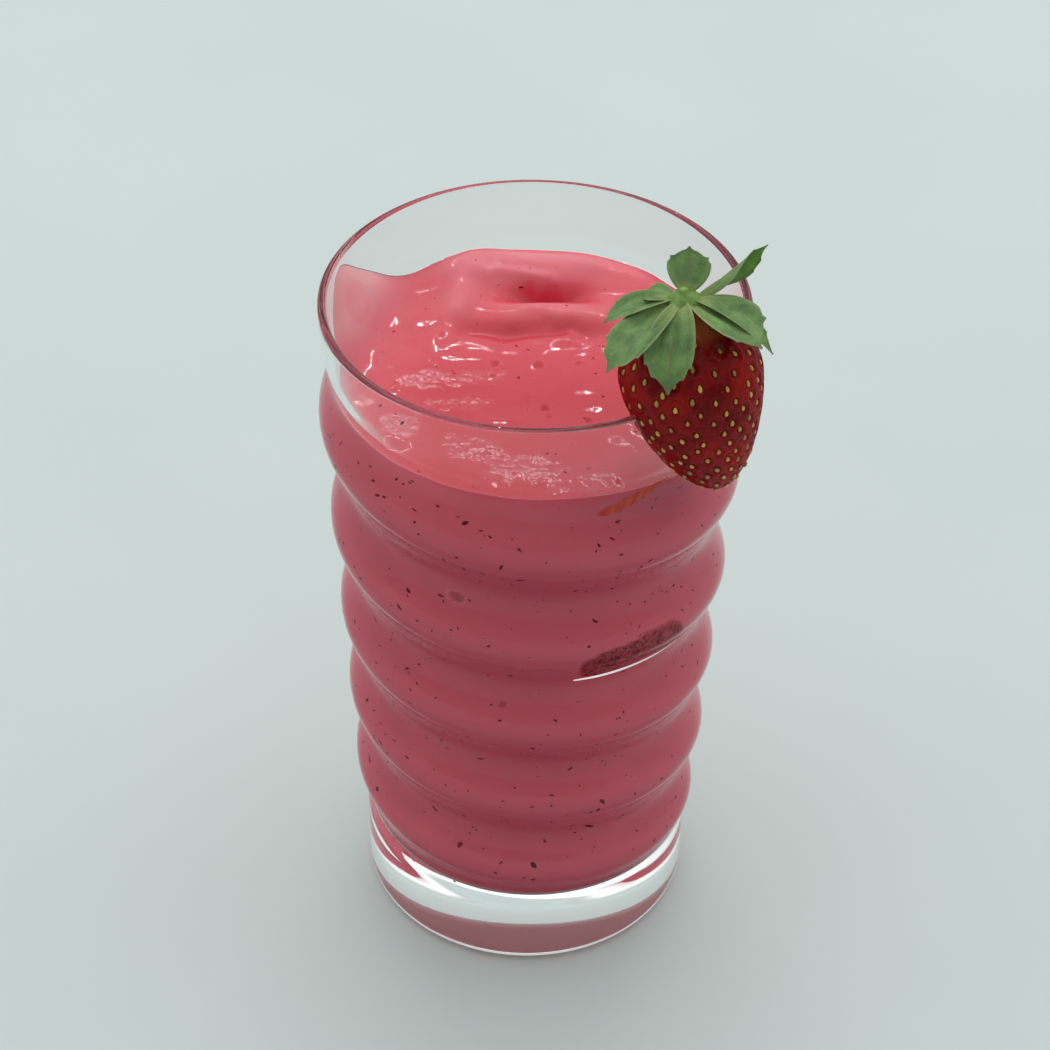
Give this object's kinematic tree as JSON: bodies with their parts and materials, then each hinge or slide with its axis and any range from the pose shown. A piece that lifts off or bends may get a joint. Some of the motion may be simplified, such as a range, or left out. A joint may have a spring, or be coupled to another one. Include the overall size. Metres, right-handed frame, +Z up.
{
  "type": "strawberry milkshake",
  "caption": "Tall spiral-ribbed glass tumbler filled with pink strawberry milkshake, with a whole strawberry and its leaves perched on the rim.",
  "frame": {"origin": "centre of the flat underside that the glass stands on", "axes": "+Z up along the glass's axis; -Y is the side seen in front; the strawberry sits on the rim between -Y and +X"},
  "size_m": [0.0856, 0.0852, 0.1779],
  "materials": {
    "glass": "clear polished soda-lime glass",
    "milkshake": "opaque pink blended fruit and milk, wet and glossy",
    "strawberry": "ripe deep red skin, wet, with golden seeds",
    "leaf": "dull green leaf with fine hairs"
  },
  "bodies": {
    "root": {"glass": "glass", "milkshake": "milkshake", "strawberry": "strawberry", "strawberry_calyx": "leaf"}
  },
  "joints": []
}
